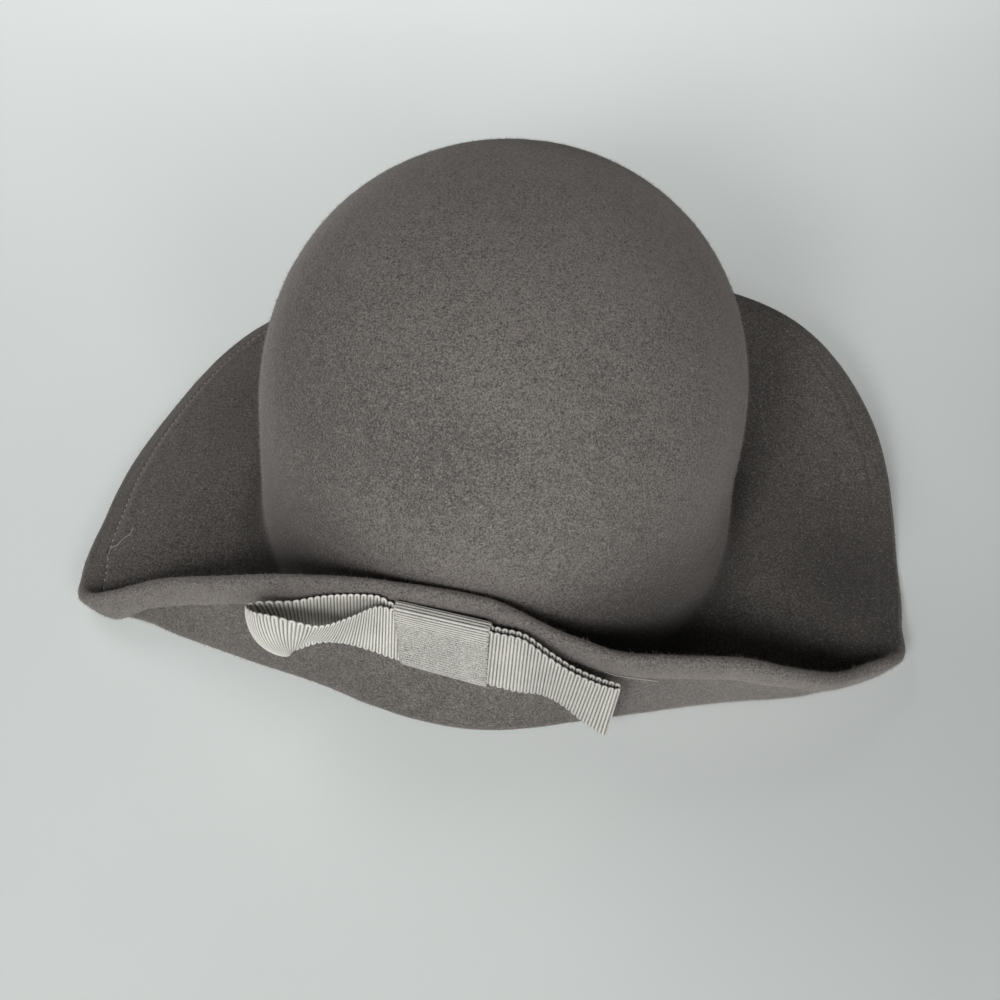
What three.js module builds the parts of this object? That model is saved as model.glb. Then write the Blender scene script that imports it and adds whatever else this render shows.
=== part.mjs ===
import * as THREE from "three";

// A soft felt hat, in millimetres. X runs across the head, -Y is the front and Z is up.
// The felt is one piece: a round crown and a wavy brim whose front is folded up against the crown.
// A ribbon bow is sewn to the outside of the turned-up front.

// The crown is a dome over an oval, widest some way up and drawn in a little at its neck.
const crown = {
  halfWidth: 90,
  halfDepth: 95,
  height: 144,
  widest: 54,
  neck: 0.985,
  flare: 1.7,
  roundness: 2.27,
  tilt: 2.5,
  lean: 1,
  lift: 16,
  join: 20,
};

// The felt sheet, and the hem turned under along the brim's edge. The felt's own weight presses
// it flat on the table, whose height in these sections is table.
const felt = {
  thickness: 2.4,
  hemWidth: 10.5,
  hemExtra: 2.2,
  ledge: 1.2,
  endRound: 2.3,
  table: 0.9,
};

// The brim, a row for each section round the crown. Azimuth 0 is the right side, -90 the front.
// neckUp, foldUp and edgeUp are heights over the table, foldOut and edgeOut run out from the neck.
// neckTurn and foldTurn are how far each bend reaches along the felt.
const brimColumns = [
  "azimuth", "neckUp", "foldOut", "foldUp", "edgeOut", "edgeUp", "neckTurn", "foldTurn",
];
const brimRows = [
  [-175, 13, 38, 14, 62.5, 7, 10, 16],
  [-162, 13, 54, 8, 71.5, 10.5, 10, 13],
  [-157, 12, 63, 2.8, 71, 14.5, 10, 11],
  [-152, 10, 52, 2.2, 48, 27, 10, 9],
  [-142, 7, 33, 1.2, 35, 44, 9, 8],
  [-128, 4, 17, 0.8, 23, 61, 8, 7],
  [-112, 2, 12, 0.8, 12, 68, 7, 6],
  [-90, 1.6, 11.5, 0.8, 9, 68, 7, 6],
  [-74, 2, 9.5, 0.8, 20, 59.5, 7, 6],
  [-66, 3, 10.5, 0.8, 26, 53.5, 7, 6.5],
  [-58, 4, 14, 0.8, 33, 52, 7, 7],
  [-48, 5, 22, 0.8, 44, 48, 8, 8],
  [-40, 7, 33, 1.2, 54.5, 37, 8, 8],
  [-33, 8, 48, 1.6, 62.5, 25.5, 9, 8],
  [-28, 9, 58, 2.2, 67, 20.5, 10, 8],
  [-24, 9.5, 63.5, 3, 73, 18, 10, 8],
  [-20, 10, 62, 6, 76, 13, 10, 10],
  [-14, 11, 46, 10, 73, 8, 10, 16],
  [0, 13, 36, 12, 71, 3, 10, 16],
  [22, 15, 36, 18, 74, 22, 10, 16],
  [40, 17, 36, 24, 74, 31, 10, 16],
  [60, 18, 36, 24, 69, 26, 10, 16],
  [95, 19, 36, 18, 67, 12, 10, 16],
  [135, 17, 36, 14, 66, 3, 10, 16],
  [160, 15, 36, 14, 58, 3, 10, 16],
];

// How closely the brim is divided round the crown: closer at the two front corners.
const spans = [
  { from: -180, to: -168, step: 6 },
  { from: -168, to: -144, step: 2.4 },
  { from: -144, to: -36, step: 6 },
  { from: -36, to: -12, step: 2.4 },
  { from: -12, to: 180, step: 6 },
];
const rings = { dome: 10, wall: 2, neck: 5, fold: 6, flap: 2, end: 3 };

// The bow: one ribbon ring pinched flat at its middle, and a band round the pinch.
// Its place is the middle of the band. It faces out from the turned-up front.
const ribbon = { width: 28, thickness: 1, stations: 72, shares: [1, 0.5, 0, -0.5, -1] };
const bow = { x: -13.8, y: -109.6, z: 52.3, turn: 10, droop: 5 };
const knot = {
  length: 32,
  clearance: 0.4,
  thickness: 1,
  skew: 8,
  bend: 1.6,
  flare: 0.04,
  pressLeft: 3.6,
  pressRight: 1.6,
};

// The ribbon's middle line, measured from the bow's place: along to the right, out from the
// front and up. lean tips the ribbon's upper edge outwards, slant tips it to the left, in degrees.
// cup is how far the middle of its width bulges out of the ring, and press how far the band
// pushes its upper edge down.
const ribbonColumns = ["along", "out", "up", "lean", "slant", "cup", "press"];
const ribbonRows = [
  [12, 1.3, 0, 0, 4, 0, 1.9],
  [-12, 1.3, 0, 0, 5, 0, 3.4],
  [-18.5, 1.3, 0, 0, 5, 0, 3.7],
  [-24, 2.6, -0.3, 9, 4, 0.2, 0.8],
  [-32, 5.4, -1.2, 21, 2, 0.5, 0],
  [-42.5, 9, -3.5, 27, 1, 0.8, 0],
  [-48.5, 10.8, -5.5, 21, 4, 1.4, 0],
  [-54, 10, -8, 16, 14, 2.4, 0],
  [-58, 8, -11, 13, 25, 3.6, 0],
  [-61, 3.5, -15.5, 7, 32, 4, 0],
  [-60.5, 0.3, -17, 6, 24, 1.6, 0],
  [-52, -1.5, -14, 8, 8, 0, 0],
  [-43, -3, -9, 9, 4, 0, 0],
  [-33, -2.8, -5, 6, 5, 0, 0],
  [-24, -1.8, -1.5, 2, 5, 0, 0.8],
  [-18.5, -1.3, 0, 0, 5, 0, 3.7],
  [-12, -1.3, 0, 0, 5, 0, 3.4],
  [12, -1.3, 0, 0, 4, 0, 1.9],
  [18.5, -1.3, 0, 0, 4, 0, 1.6],
  [27, -1.5, -0.8, 3, 4, 0, 0],
  [35.5, -2.5, -3.5, 14, 1, 0, 0],
  [44, -4, -8.5, 17, -2, 0, 0],
  [54, -5.8, -14.5, 11, -3, 0, 0],
  [61.2, -7.1, -18, 5, -1, 0, 0],
  [62.2, -5.9, -18.2, 5, -1, 0, 0],
  [61.2, -4.7, -18, 5, -1, 0, 0],
  [54, -3.2, -14.5, 11, -3, 0.3, 0],
  [44, -1.5, -8.5, 17, -2, 0.5, 0],
  [35.5, 0, -3.5, 14, 1, 0.4, 0],
  [27, 1, -0.8, 3, 4, 0.2, 0],
  [18.5, 1.3, 0, 0, 4, 0, 1.6],
];

const radians = THREE.MathUtils.degToRad;

// Each row as an object whose keys are the columns' names.
const named = (columns, rows) =>
  rows.map((row) => Object.fromEntries(columns.map((name, i) => [name, row[i]])));

// A smooth value of one column between the brim's rows, going round without a break.
const brim = named(brimColumns, brimRows);
function brimAt(azimuth) {
  const count = brim.length;
  const row = (i) => brim[((i % count) + count) % count];
  const angle = (i) => row(i).azimuth + 360 * Math.floor(i / count);
  let k = count - 1;
  while (k > -1 && angle(k) > azimuth) k -= 1;
  const span = angle(k + 1) - angle(k);
  const s = (azimuth - angle(k)) / span;
  const value = (name) => {
    const slope = (i) => (row(i + 1)[name] - row(i - 1)[name]) / (angle(i + 1) - angle(i - 1));
    return (
      (2 * s ** 3 - 3 * s ** 2 + 1) * row(k)[name] +
      (s ** 3 - 2 * s ** 2 + s) * span * slope(k) +
      (3 * s ** 2 - 2 * s ** 3) * row(k + 1)[name] +
      (s ** 3 - s ** 2) * span * slope(k + 1)
    );
  };
  return Object.fromEntries(brimColumns.slice(1).map((name) => [name, value(name)]));
}

// How wide the crown is at a height, as a share of its widest oval.
function girth(height) {
  if (height < crown.widest) {
    return 1 - (1 - crown.neck) * ((crown.widest - height) / crown.widest) ** crown.flare;
  }
  const rise = Math.min(1, (height - crown.widest) / (crown.height - crown.widest));
  return (1 - rise ** crown.roundness) ** (1 / crown.roundness);
}

// A point on the crown's sheet, with the crown tipped a little forward and to the right.
function crownPoint(azimuth, height) {
  const around = radians(azimuth);
  const tilt = radians(crown.tilt);
  const share = girth(height);
  const across = crown.halfWidth * share * Math.cos(around);
  const deep = crown.halfDepth * share * Math.sin(around);
  return new THREE.Vector3(
    across + height * Math.sin(radians(crown.lean)),
    deep * Math.cos(tilt) - height * Math.sin(tilt),
    crown.lift + deep * Math.sin(tilt) + height * Math.cos(tilt),
  );
}

// A bend at one corner, which starts and ends a given reach away from it.
function bend(before, corner, after, reach, count) {
  const side = (other) => {
    const length = corner.distanceTo(other);
    return corner.clone().lerp(other, Math.min(reach, 0.48 * length) / length);
  };
  const curve = new THREE.QuadraticBezierCurve3(side(before), corner, side(after));
  return curve.getPoints(count - 1);
}

// The middle of the felt from below the crown's top, down its wall and out to the brim's edge.
function section(azimuth) {
  const row = brimAt(azimuth);
  const outward = new THREE.Vector3(Math.cos(radians(azimuth)), Math.sin(radians(azimuth)), 0);
  const neck = crownPoint(azimuth, 0).setZ(row.neckUp);
  const fold = neck.clone().addScaledVector(outward, row.foldOut).setZ(row.foldUp);
  const edge = neck.clone().addScaledVector(outward, row.edgeOut).setZ(row.edgeUp);

  const points = [];
  for (let k = 1; k <= rings.dome; k += 1) {
    const share = Math.cos((Math.PI / 2) * (k / rings.dome));
    points.push(crownPoint(azimuth, crown.widest + (crown.height - crown.widest) * share));
  }
  for (let k = 1; k <= rings.wall; k += 1) {
    points.push(crownPoint(azimuth, THREE.MathUtils.lerp(crown.widest, crown.join, k / rings.wall)));
  }
  points.push(...bend(points.at(-1), neck, fold, row.neckTurn, rings.neck));
  points.push(...bend(neck, fold, edge, row.foldTurn, rings.fold));

  // The straight stretch up to the hem, then the hem itself.
  const start = points.at(-1);
  const length = start.distanceTo(edge);
  const hemStart = length - felt.hemWidth;
  for (let k = 1; k <= rings.flap; k += 1) {
    points.push(start.clone().lerp(edge, ((hemStart - felt.ledge) / length) * (k / rings.flap)));
  }
  points.push(start.clone().lerp(edge, hemStart / length));
  points.push(start.clone().lerp(edge, (length - felt.endRound) / length));
  points.forEach((p) => p.setZ(Math.max(p.z, felt.table + felt.thickness / 2)));
  return points;
}

const azimuths = spans.flatMap(({ from, to, step }) =>
  Array.from({ length: Math.round((to - from) / step) }, (_, i) => from + i * step),
);
const sections = azimuths.map(section);
const sectionAt = (i) => sections[(i + sections.length) % sections.length];

// The direction out of the felt's upper face at one point of one section.
function outOfFelt(i, k) {
  const own = sectionAt(i);
  const down = own[Math.min(k + 1, own.length - 1)].clone().sub(own[Math.max(k - 1, 0)]);
  const around = sectionAt(i + 1)[k].clone().sub(sectionAt(i - 1)[k]);
  return down.cross(around).normalize();
}

// The closed loop of one section: the upper face down to the edge, the rounded edge, and the
// under face back up. The hem is thicker on the under face.
function feltLoop(i) {
  const own = sectionAt(i);
  const hemFrom = own.length - 2;
  const upper = [];
  const under = [];
  own.forEach((point, k) => {
    const out = outOfFelt(i, k);
    const depth = felt.thickness / 2 + (k >= hemFrom ? felt.hemExtra : 0);
    upper.push(point.clone().addScaledVector(out, felt.thickness / 2));
    under.push(point.clone().addScaledVector(out, -depth));
  });
  const middle = upper.at(-1).clone().lerp(under.at(-1), 0.5);
  const half = upper.at(-1).clone().sub(middle);
  const onward = own.at(-1).clone().sub(own.at(-2)).setLength(half.length());
  const end = [];
  for (let k = 1; k <= rings.end; k += 1) {
    const angle = (Math.PI * k) / (rings.end + 1);
    end.push(
      middle.clone().addScaledVector(half, Math.cos(angle)).addScaledVector(onward, Math.sin(angle)),
    );
  }
  upper.forEach((p) => p.setZ(Math.max(p.z, felt.table + felt.thickness)));
  const loop = [...upper, ...end, ...under.reverse()];
  loop.forEach((p) => p.setZ(Math.max(p.z, felt.table)));
  return loop;
}

// A closed body from loops of points that go round, with a point at each end of the loops.
function bodyFromLoops(loops, first, last) {
  const rows = loops[0].length;
  const positions = [];
  loops.forEach((loop) => loop.forEach((p) => positions.push(p.x, p.y, p.z)));
  const firstIndex = loops.length * rows;
  positions.push(first.x, first.y, first.z, last.x, last.y, last.z);
  const index = [];
  loops.forEach((loop, i) => {
    const here = i * rows;
    const next = ((i + 1) % loops.length) * rows;
    for (let k = 0; k < rows - 1; k += 1) {
      index.push(here + k, here + k + 1, next + k + 1, here + k, next + k + 1, next + k);
    }
    index.push(firstIndex, here, next);
    index.push(firstIndex + 1, next + rows - 1, here + rows - 1);
  });
  const geometry = new THREE.BufferGeometry();
  geometry.setAttribute("position", new THREE.Float32BufferAttribute(positions, 3));
  geometry.setIndex(index);
  geometry.computeVertexNormals();
  return geometry;
}

function feltGeometry() {
  const top = crownPoint(0, crown.height);
  const up = new THREE.Vector3(0, 0, felt.thickness / 2);
  return bodyFromLoops(azimuths.map((_, i) => feltLoop(i)), top.clone().add(up), top.clone().sub(up));
}

// The bow's own axes: along its length to the viewer's right, out from the front, and up.
const bowPlace = new THREE.Vector3(bow.x, bow.y, bow.z);
const outAxis = new THREE.Vector3(-Math.sin(radians(bow.turn)), -Math.cos(radians(bow.turn)), 0);
const alongAxis = new THREE.Vector3(
  Math.cos(radians(bow.turn)) * Math.cos(radians(bow.droop)),
  -Math.sin(radians(bow.turn)) * Math.cos(radians(bow.droop)),
  -Math.sin(radians(bow.droop)),
);
const upAxis = new THREE.Vector3().crossVectors(alongAxis, outAxis).negate();
const inBow = (along, out, up) =>
  bowPlace
    .clone()
    .addScaledVector(alongAxis, along)
    .addScaledVector(outAxis, out)
    .addScaledVector(upAxis, up);

// The ribbon ring: a flat strip of constant width swept round the middle line.
function ribbonGeometry() {
  const rows = named(ribbonColumns, ribbonRows);
  const smooth = (points) => new THREE.CatmullRomCurve3(points, true, "catmullrom", 0.5);
  const middle = smooth(rows.map((row) => inBow(row.along, row.out, row.up)));
  const tips = smooth(rows.map((row) => new THREE.Vector3(row.lean, row.slant, 0)));
  const shapes = smooth(rows.map((row) => new THREE.Vector3(row.cup, row.press, 0)));
  const positions = [];
  const index = [];
  for (let i = 0; i < ribbon.stations; i += 1) {
    const t = i / ribbon.stations;
    const tip = tips.getPoint(t);
    const lean = radians(tip.x);
    const slant = radians(tip.y);
    const { x: cup, y: press } = shapes.getPoint(t);
    const across = new THREE.Vector3()
      .addScaledVector(upAxis, Math.cos(lean) * Math.cos(slant))
      .addScaledVector(outAxis, Math.sin(lean))
      .addScaledVector(alongAxis, -Math.cos(lean) * Math.sin(slant));
    const face = middle.getTangent(t).cross(across).normalize();
    const place = middle.getPoint(t);
    const corners = [
      ...ribbon.shares.map((share) => ({ share, depth: -1 })),
      ...ribbon.shares.toReversed().map((share) => ({ share, depth: 1 })),
    ];
    corners.forEach(({ share, depth }) => {
      const sideways = (share * (ribbon.width - press) - press) / 2;
      const outwards = (depth * ribbon.thickness) / 2 - cup * (1 - share ** 2);
      const p = place.clone().addScaledVector(across, sideways).addScaledVector(face, outwards);
      positions.push(p.x, p.y, p.z);
    });
    for (let k = 0; k < corners.length; k += 1) {
      const a = i * corners.length + k;
      const b = i * corners.length + ((k + 1) % corners.length);
      const ahead = (((i + 1) % ribbon.stations) - i) * corners.length;
      index.push(a, b + ahead, b, a, a + ahead, b + ahead);
    }
  }
  const geometry = new THREE.BufferGeometry();
  geometry.setAttribute("position", new THREE.Float32BufferAttribute(positions, 3));
  geometry.setIndex(index);
  geometry.computeVertexNormals();
  return geometry;
}

// A rectangle with round corners, drawn as a closed outline.
function roundedOutline(outline, halfDepth, halfHeight, radius) {
  outline.moveTo(-halfDepth + radius, -halfHeight);
  outline.lineTo(halfDepth - radius, -halfHeight);
  outline.quadraticCurveTo(halfDepth, -halfHeight, halfDepth, -halfHeight + radius);
  outline.lineTo(halfDepth, halfHeight - radius);
  outline.quadraticCurveTo(halfDepth, halfHeight, halfDepth - radius, halfHeight);
  outline.lineTo(-halfDepth + radius, halfHeight);
  outline.quadraticCurveTo(-halfDepth, halfHeight, -halfDepth, halfHeight - radius);
  outline.lineTo(-halfDepth, -halfHeight + radius);
  outline.quadraticCurveTo(-halfDepth, -halfHeight, -halfDepth + radius, -halfHeight);
  return outline;
}

// The band round the pinched middle: a flattened tube whose ends are cut askew.
function knotGeometry() {
  const layerOut = ribbonRows[0][1];
  const innerDepth = layerOut + ribbon.thickness / 2 + knot.clearance;
  const innerHeight = ribbon.width / 2 + knot.clearance;
  const outer = roundedOutline(
    new THREE.Shape(),
    innerDepth + knot.thickness,
    innerHeight + knot.thickness,
    knot.bend,
  );
  const innerBend = knot.bend - knot.thickness;
  outer.holes.push(roundedOutline(new THREE.Path(), innerDepth, innerHeight, innerBend));
  const geometry = new THREE.ExtrudeGeometry(outer, {
    depth: knot.length,
    bevelEnabled: false,
    curveSegments: 3,
  });
  const position = geometry.getAttribute("position");
  const skew = Math.tan(radians(knot.skew));
  for (let i = 0; i < position.count; i += 1) {
    const out = -position.getX(i);
    const rise = position.getY(i);
    const share = THREE.MathUtils.clamp(rise / innerHeight, -1, 1);
    const reach = position.getZ(i) / knot.length - 0.5;
    const along = reach * knot.length * (1 + knot.flare * share) - rise * skew;
    const press = THREE.MathUtils.lerp(knot.pressLeft, knot.pressRight, reach + 0.5);
    const p = inBow(along, out, rise - press * Math.max(0, share));
    position.setXYZ(i, p.x, p.y, p.z);
  }
  geometry.computeVertexNormals();
  return geometry;
}

const feltMaterial = new THREE.MeshStandardMaterial({
  name: "felt_taupe",
  color: 0x6d6763,
  roughness: 0.95,
  metalness: 0,
});
const ribbonMaterial = new THREE.MeshStandardMaterial({
  name: "ribbon_silver",
  color: 0xb5b1aa,
  roughness: 0.6,
  metalness: 0,
});

function piece(name, geometry, material) {
  const mesh = new THREE.Mesh(geometry, material);
  mesh.name = name;
  return mesh;
}

const hat = new THREE.Group();
hat.add(
  piece("felt_body", feltGeometry(), feltMaterial),
  piece("bow_loops", ribbonGeometry(), ribbonMaterial),
  piece("bow_knot", knotGeometry(), ribbonMaterial),
);

// The origin is on the table, under the middle of the whole hat.
const box = new THREE.Box3().setFromObject(hat);
const middle = box.getCenter(new THREE.Vector3());
hat.position.set(-middle.x, -middle.y, -box.min.z);

export default hat;
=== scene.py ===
import math

import bpy
import numpy as np
from mathutils import Matrix, Vector, noise


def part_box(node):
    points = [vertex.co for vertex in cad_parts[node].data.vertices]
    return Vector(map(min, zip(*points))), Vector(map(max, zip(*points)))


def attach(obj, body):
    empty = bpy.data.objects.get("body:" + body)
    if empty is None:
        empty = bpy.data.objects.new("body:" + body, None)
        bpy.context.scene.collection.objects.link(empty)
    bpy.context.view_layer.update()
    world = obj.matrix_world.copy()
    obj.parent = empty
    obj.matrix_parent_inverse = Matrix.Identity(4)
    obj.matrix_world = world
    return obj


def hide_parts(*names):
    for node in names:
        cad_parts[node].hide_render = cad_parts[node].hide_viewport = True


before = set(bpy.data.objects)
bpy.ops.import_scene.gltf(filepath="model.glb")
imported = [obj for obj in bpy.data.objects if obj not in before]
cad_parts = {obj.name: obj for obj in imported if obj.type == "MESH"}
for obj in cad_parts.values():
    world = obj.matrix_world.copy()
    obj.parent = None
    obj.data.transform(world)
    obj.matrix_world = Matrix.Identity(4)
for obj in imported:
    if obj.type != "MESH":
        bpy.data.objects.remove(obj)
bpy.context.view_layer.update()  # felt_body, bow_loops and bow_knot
print("frame loaded")

mm = 0.001  # every size below is in millimetres, every finished mesh in metres


# Nodes for materials and for geometry
class Wire:  # one output socket that takes part in plain arithmetic
    def __init__(self, graph, socket):
        self.graph = graph
        self.socket = socket

    def math(self, operation, *values):
        inputs = dict(enumerate(values))
        return self.graph.add("ShaderNodeMath", {"operation": operation}, inputs)

    def __add__(self, other):
        return self.math("ADD", self, other)

    def __sub__(self, other):
        return self.math("SUBTRACT", self, other)

    def __rsub__(self, other):
        return self.math("SUBTRACT", other, self)

    def __mul__(self, other):
        return self.math("MULTIPLY", self, other)

    def __truediv__(self, other):
        return self.math("DIVIDE", self, other)

    def __pow__(self, other):
        return self.math("POWER", self, other)

    __radd__ = __add__
    __rmul__ = __mul__

    def sine(self):
        return self.math("SINE", self)

    def size(self):
        return self.math("ABSOLUTE", self)

    def clamped(self):
        return self.math("MINIMUM", self.math("MAXIMUM", self, 0.0), 1.0)

    def other(self, output):  # another output of the same node
        return Wire(self.graph, self.socket.node.outputs[output])


class Graph:  # a node tree and the one method that adds to it
    def __init__(self, tree):
        self.tree = tree

    def add(self, kind, settings=None, inputs=None, output=0):
        node = self.tree.nodes.new(kind)
        for name, value in (settings or {}).items():
            setattr(node, name, value)
        for key, value in (inputs or {}).items():
            for one in value if isinstance(value, list) else [value]:
                if isinstance(one, Wire):
                    self.tree.links.new(one.socket, node.inputs[key])
                else:
                    node.inputs[key].default_value = one
        return Wire(self, node.outputs[output]) if node.outputs else node

    def mix(self, share, first, second):
        colours = [c if isinstance(c, Wire) else (*c, 1) for c in (first, second)]
        return self.add(
            "ShaderNodeMix",
            {"data_type": "RGBA"},
            {0: share, 6: colours[0], 7: colours[1]},
            output=2,
        )

    def place(self):  # the place on the piece itself, in metres
        return self.add("ShaderNodeTexCoord", {}, {}, output=3)

    def attribute(self, name):
        return self.add("ShaderNodeAttribute", {"attribute_name": name}, {}, output=2)

    def noise(self, place, scale, detail=2.0, roughness=0.5, distortion=0.0):
        inputs = {
            "Vector": place,
            "Scale": scale,
            "Detail": detail,
            "Roughness": roughness,
            "Distortion": distortion,
        }
        return self.add("ShaderNodeTexNoise", {}, inputs)


def newLook(name):
    material = bpy.data.materials.new(name)
    material.use_nodes = True
    material.node_tree.nodes.clear()
    return material, Graph(material.node_tree)


def finishLook(graph, colour, shader, bump=None, strength=1.0, distance=0.001):
    inputs = {"Base Color": colour, **shader}
    if bump is not None:
        inputs["Normal"] = graph.add(
            "ShaderNodeBump", {}, {"Height": bump, "Strength": strength, "Distance": distance}
        )
    surface = graph.add("ShaderNodeBsdfPrincipled", {}, inputs)
    graph.add("ShaderNodeOutputMaterial", {}, {"Surface": surface})


# Materials
feltLook = {
    "shade": (0.058, 0.053, 0.049),
    "light": (0.192, 0.175, 0.163),
    "fleck": (0.31, 0.285, 0.265),
    "strip": (0.085, 0.084, 0.079),
    "grain": 1650,  # noise steps to a metre
    "curl": 860,
    "mottle": 250,
    "cloud": 26,
    "grainShare": 2.9,  # and how much each of them changes the tone
    "curlShare": 1.0,
    "mottleShare": 0.45,
    "cloudShare": 0.3,
    "middle": 0.45,  # the tone between shade and light where nothing changes it
    # the hem's lighter tone is partly its nappier felt and partly a painted highlight on its rolled
    # edge
    "hemShare": 0.2,
    # the next two: how much the painted light and shade on the felt changes its tone and its
    # grain's contrast
    "paintedShadingShare": 0.2,
    "paintedShadingGrain": 0.1,
    "fleckFrom": 0.6,
    "fleckSteep": 12.0,
    "fleckShare": 0.4,
    "stripShare": 0.35,
    "fibreSteep": 3.0,
}


def feltMaterial():
    material, graph = newLook("felt_taupe")
    place = graph.place()
    hem, strip, worn = (graph.attribute(name) for name in ("hem", "strip", "worn"))
    grain = graph.noise(place, feltLook["grain"], 2.0, 0.6)
    curl = graph.noise(place, feltLook["curl"], 2.0, 0.6, 0.6)
    mottle = graph.noise(place, feltLook["mottle"], 2.0, 0.55)
    cloud = graph.noise(place, feltLook["cloud"], 2.0, 0.5)
    tone = (grain - 0.5) * feltLook["grainShare"] + (curl - 0.5) * feltLook["curlShare"]
    tone = tone + (mottle - 0.5) * feltLook["mottleShare"]
    tone = tone + (cloud - 0.5) * feltLook["cloudShare"]
    # the third attribute is painted light and shade: lighter where light would fall, darker where
    # the felt lies in shade
    tone = tone * (worn * feltLook["paintedShadingGrain"] + 1.0)
    tone = tone + hem * feltLook["hemShare"] + worn * feltLook["paintedShadingShare"]
    tone = (tone + feltLook["middle"]).clamped()
    fleck = (curl * 0.5 + grain * 0.5 - feltLook["fleckFrom"]) * feltLook["fleckSteep"]
    colour = graph.mix(tone, feltLook["shade"], feltLook["light"])
    colour = graph.mix(fleck.clamped() * feltLook["fleckShare"], colour, feltLook["fleck"])
    colour = graph.mix(strip * feltLook["stripShare"], colour, feltLook["strip"])
    nap = grain * 0.5 + curl * 0.8 + mottle * 0.5
    shader = {
        "Roughness": 0.95,
        "Specular IOR Level": 0.15,
        "Sheen Weight": 0.32,
        "Sheen Roughness": 0.4,
        "Sheen Tint": (0.79, 0.73, 0.70, 1),
    }
    finishLook(graph, colour, shader, nap, 0.5, 0.0008)
    return material


def napMaterial():
    material, graph = newLook("nap_taupe")
    curl = graph.noise(graph.place(), feltLook["curl"], 2.0, 0.6)
    tone = ((curl - 0.5) * feltLook["fibreSteep"] + 0.5).clamped()
    colour = graph.mix(tone, feltLook["light"], feltLook["fleck"])
    finishLook(graph, colour, {"Roughness": 0.9, "Specular IOR Level": 0.2})
    return material


ribbonLook = {
    # the ribbon's own silver-grey, with painted shade in the grooves between its ribs and a painted
    # highlight on the ribs' tops
    "groove": (0.035, 0.032, 0.028),
    "rib": (0.72, 0.70, 0.645),
    "warp": 2600,  # noise steps to a metre
    "cloud": 90,
    "warpShare": 0.5,
    "warpWorn": 0.8,  # more of it where the ribs are worn flat
    "cloudShare": 0.25,
}


def ribbonMaterial():
    material, graph = newLook("ribbon_silver")
    place = graph.place()
    # the rib attribute is painted shade in the grooves and painted highlight on the ribs
    height, flat = graph.attribute("rib"), graph.attribute("wear")
    warp = graph.noise(place, ribbonLook["warp"], 1.0, 0.5)
    cloud = graph.noise(place, ribbonLook["cloud"], 2.0, 0.5)
    share = height + (warp - 0.5) * (flat * ribbonLook["warpWorn"] + ribbonLook["warpShare"])
    share = share + (cloud - 0.5) * ribbonLook["cloudShare"]
    colour = graph.mix(share.clamped(), ribbonLook["groove"], ribbonLook["rib"])
    shader = {
        "Roughness": 0.58,
        "Specular IOR Level": 0.35,
        "Sheen Weight": 0.15,
        "Sheen Roughness": 0.4,
    }
    finishLook(graph, colour, shader, warp, 0.25, 0.0001)
    return material


threadLook = {"shade": (0.26, 0.24, 0.222), "light": (0.44, 0.415, 0.388), "twist": 3000}


def threadMaterial():
    material, graph = newLook("thread_taupe")
    twist = graph.noise(graph.place(), threadLook["twist"], 1.0, 0.5)
    colour = graph.mix(twist, threadLook["shade"], threadLook["light"])
    finishLook(graph, colour, {"Roughness": 0.7}, twist, 0.2, 0.0001)
    return material


felt = feltMaterial()
napFelt = napMaterial()
ribbonCloth = ribbonMaterial()
stitchThread = threadMaterial()
print("materials made")


# The felt, worked out from the same rows as the solid but divided more finely
crown = {
    "halfWidth": 90,
    "halfDepth": 95,
    "height": 142.8,
    "widest": 54,
    "neck": 0.985,
    "flare": 1.7,
    "roundness": 2.27,
    "tilt": 2.5,
    "lean": 1,
    "flatter": 0.035,  # the right side bulges this much less than the left,
    "flatterAbove": 40,  # fully from this height up
    "lift": 16,
    "join": 20,
}
sheet = {
    "thickness": 2.4,
    "hemWidth": 10.5,
    "hemExtra": 2.2,
    "ledge": 0.9,
    "endRound": 2.3,
    "table": 0.9,
    "flattest": 0.9,  # the share of its thickness that the felt keeps where it lies on the table
    "stitchIn": 9.0,  # how far the hem's stitches lie from the brim's edge
    "groove": 0.6,  # how deep they pull the under face in, and how wide,
    "grooveWidth": 0.8,
    "dent": 0.48,  # and the upper face
    "dentWidth": 0.9,
    "softness": 0.3,  # both faces waver by this, over long waves and lower short ones
    "longWave": 34,
    "shortWave": 11,
    "shortShare": 0.35,
    "swell": 0.5,
    "wander": 0.9,  # the hem's inner line wavers by this, over waves this long
    "wanderWave": 30,
    "wider": 2.4,  # and the hem is this much wider to both sides of the bow
    "roll": 1.3,  # the open brim's edge turns down this far, the turned-up front's much less
    "rollFront": 0.3,
    "rollWidth": 13,
    "raise": 1.1,  # and the brim swells up towards it first,
    "raiseWidth": 30,
    "ridge": 0.4,  # a little more so just inside the stitches
    "ridgeIn": 11.5,
    "ridgeWidth": 2.2,
}
brimColumns = [
    "azimuth", "neckUp", "foldOut", "foldUp", "edgeOut", "edgeUp", "neckTurn", "foldTurn",
]
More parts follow.
